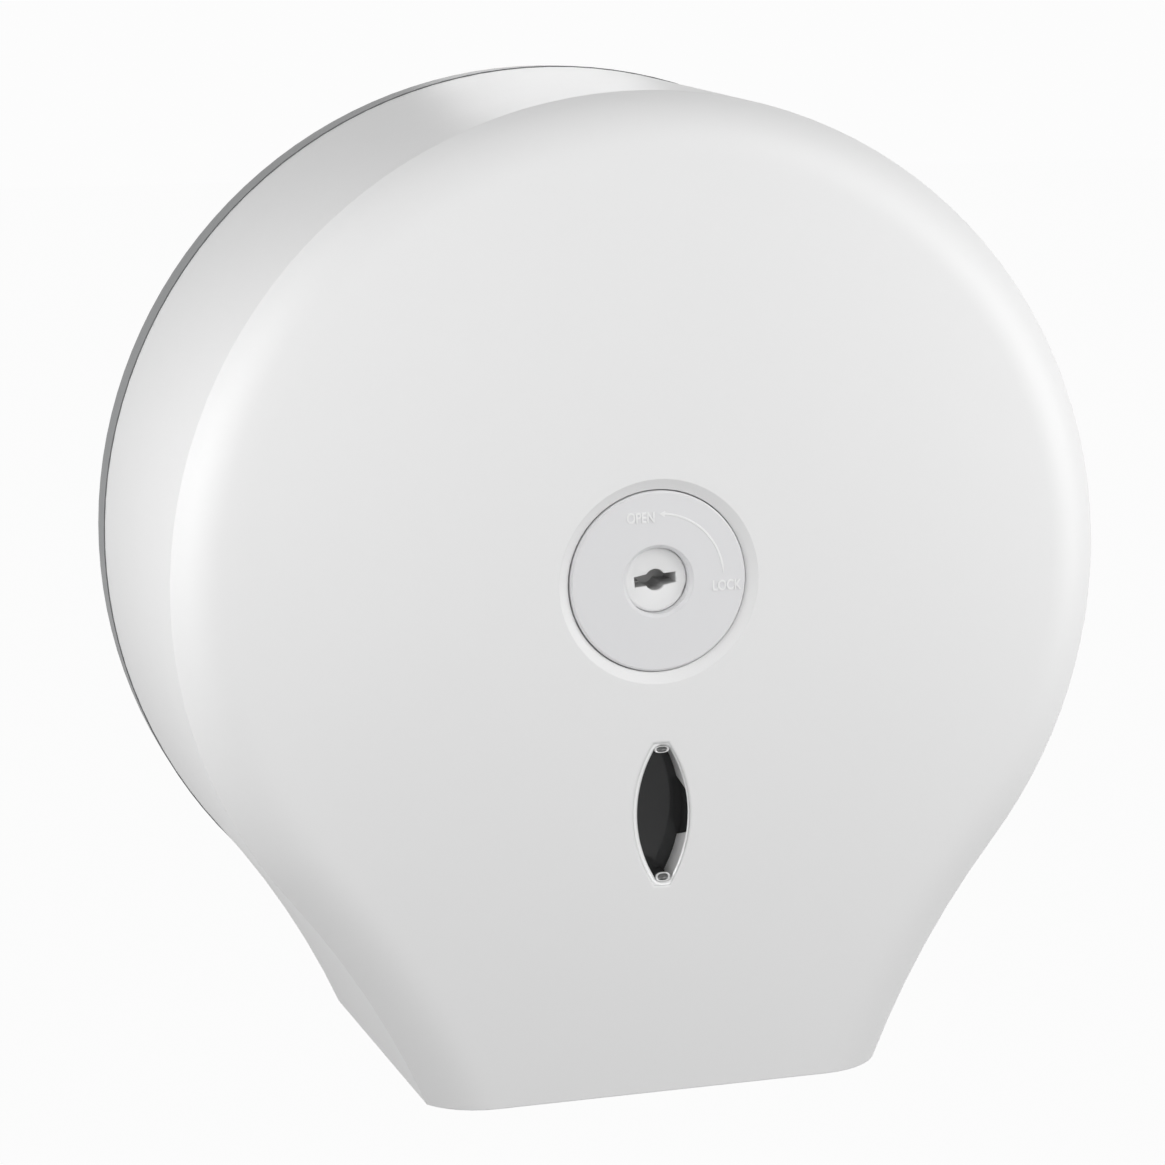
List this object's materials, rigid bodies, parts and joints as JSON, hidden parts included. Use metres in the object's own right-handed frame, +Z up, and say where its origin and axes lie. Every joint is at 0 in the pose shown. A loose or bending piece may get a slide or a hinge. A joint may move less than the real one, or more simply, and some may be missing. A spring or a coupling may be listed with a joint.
{
  "type": "jumbo toilet roll dispenser",
  "caption": "Round wall dispenser for large paper rolls: hinged white cover on a grey back plate, key lock in a round dial, pointed level window and turning core sleeve.",
  "frame": {"origin": "where the spindle axis meets the wall, which is the centre of the wall screw pattern", "axes": "+X to the viewer's right, +Y into the wall, so the front faces -Y, and +Z up"},
  "size_m": [0.27, 0.119, 0.2784],
  "materials": {
    "white_plastic": "semi-gloss moulded",
    "base_plastic": "moulded",
    "dial_plastic": "satin moulded",
    "smoked_lens": "clear smoked",
    "nylon": "moulded",
    "steel": "bright",
    "zinc_screws": "zinc plated"
  },
  "bodies": {
    "base": {"back_plate": "base_plastic", "spindle_post": "white_plastic", "spindle_screws": "zinc_screws", "thrust_washer": "nylon", "sleeve_retaining_clip": "steel", "latch_keeper": "steel", "keeper_screws": "zinc_screws", "hinge_pin_left": "steel", "hinge_pin_right": "steel"},
    "sleeve": {"core_sleeve": "nylon", "roll_stop_disc": "nylon"},
    "cover": {"front_cover": "white_plastic", "window_lens": "smoked_lens", "lock_dial": "dial_plastic", "lock_housing": "nylon", "housing_screws": "zinc_screws", "lock_wave_washer": "steel", "tear_strip_left": "steel", "tear_strip_right": "steel", "tear_strip_rivets": "zinc_screws"},
    "barrel": {"lock_barrel": "white_plastic", "locking_bar": "steel", "bar_screw": "zinc_screws"}
  },
  "joints": [
    {"name": "cover_hinge", "type": "hinge", "parent": "base", "child": "cover", "pos_m": [0, -0.008, -0.1365], "axis": [1, 0, 0], "range_deg": [0, 90]},
    {"name": "sleeve_spin", "type": "hinge", "parent": "base", "child": "sleeve", "pos_m": [0, -0.05, 0], "axis": [0, -1, 0], "continuous": true},
    {"name": "lock_turn", "type": "hinge", "parent": "cover", "child": "barrel", "pos_m": [0, -0.1, 0], "axis": [0, -1, 0], "range_deg": [0, 90]}
  ]
}
